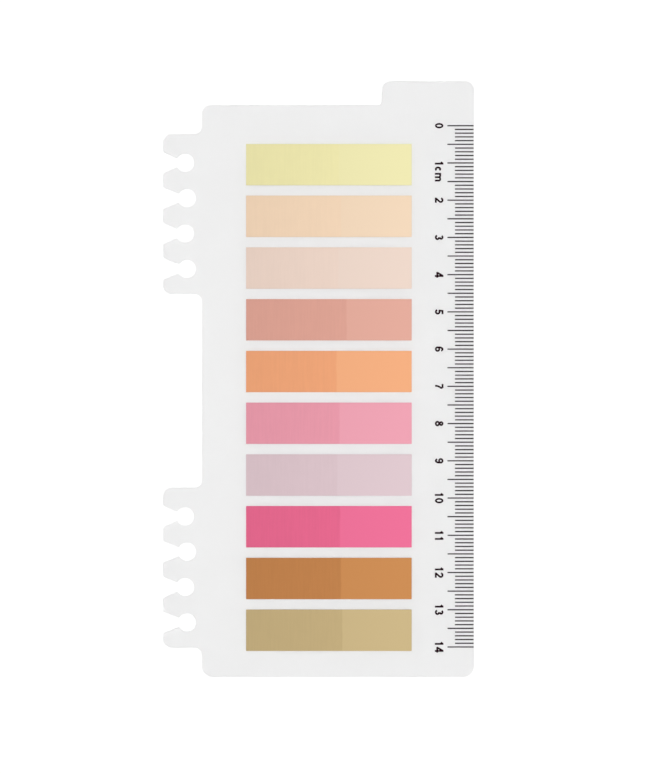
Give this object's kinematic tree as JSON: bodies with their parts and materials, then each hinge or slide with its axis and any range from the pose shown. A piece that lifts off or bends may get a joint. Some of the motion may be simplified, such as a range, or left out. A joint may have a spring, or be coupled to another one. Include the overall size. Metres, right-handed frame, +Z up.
{
  "type": "sticky index tabs",
  "caption": "Pads of film index tabs stuck to a frosted plastic ring-binder page that has an index tab and a centimetre scale.",
  "frame": {"origin": "centre of the page's outline, on its underside", "axes": "+X towards the printed ruler edge, +Y towards the index tab, +Z up through the pads"},
  "size_m": [0.0834, 0.16, 0.0016],
  "materials": {
    "frosted_plastic": "translucent frosted sheet, fine matt grain",
    "film_lemon": "satin translucent film",
    "film_peach": "satin translucent film",
    "film_blush": "satin translucent film",
    "film_clay": "satin translucent film",
    "film_apricot": "satin translucent film",
    "film_rose": "satin translucent film",
    "film_lilac": "satin translucent film",
    "film_cerise": "satin translucent film",
    "film_caramel": "satin translucent film",
    "film_khaki": "satin translucent film",
    "ink": "matt printed ink"
  },
  "bodies": {
    "root": {"ruler_page": "frosted_plastic", "tab_pad_01_lemon": "film_lemon", "tab_pad_02_peach": "film_peach", "tab_pad_03_blush": "film_blush", "tab_pad_04_clay": "film_clay", "tab_pad_05_apricot": "film_apricot", "tab_pad_06_rose": "film_rose", "tab_pad_07_lilac": "film_lilac", "tab_pad_08_cerise": "film_cerise", "tab_pad_09_caramel": "film_caramel", "tab_pad_10_khaki": "film_khaki", "scale_ticks": "ink", "numeral_0": "ink", "numeral_1": "ink", "unit_letter_c": "ink", "unit_letter_m": "ink", "numeral_2": "ink", "numeral_3": "ink", "numeral_4": "ink", "numeral_5": "ink", "numeral_6": "ink", "numeral_7": "ink", "numeral_8": "ink", "numeral_9": "ink", "numeral_10_tens": "ink", "numeral_10_units": "ink", "numeral_11_tens": "ink", "numeral_11_units": "ink", "numeral_12_tens": "ink", "numeral_12_units": "ink", "numeral_13_tens": "ink", "numeral_13_units": "ink", "numeral_14_tens": "ink", "numeral_14_units": "ink"}
  },
  "joints": []
}
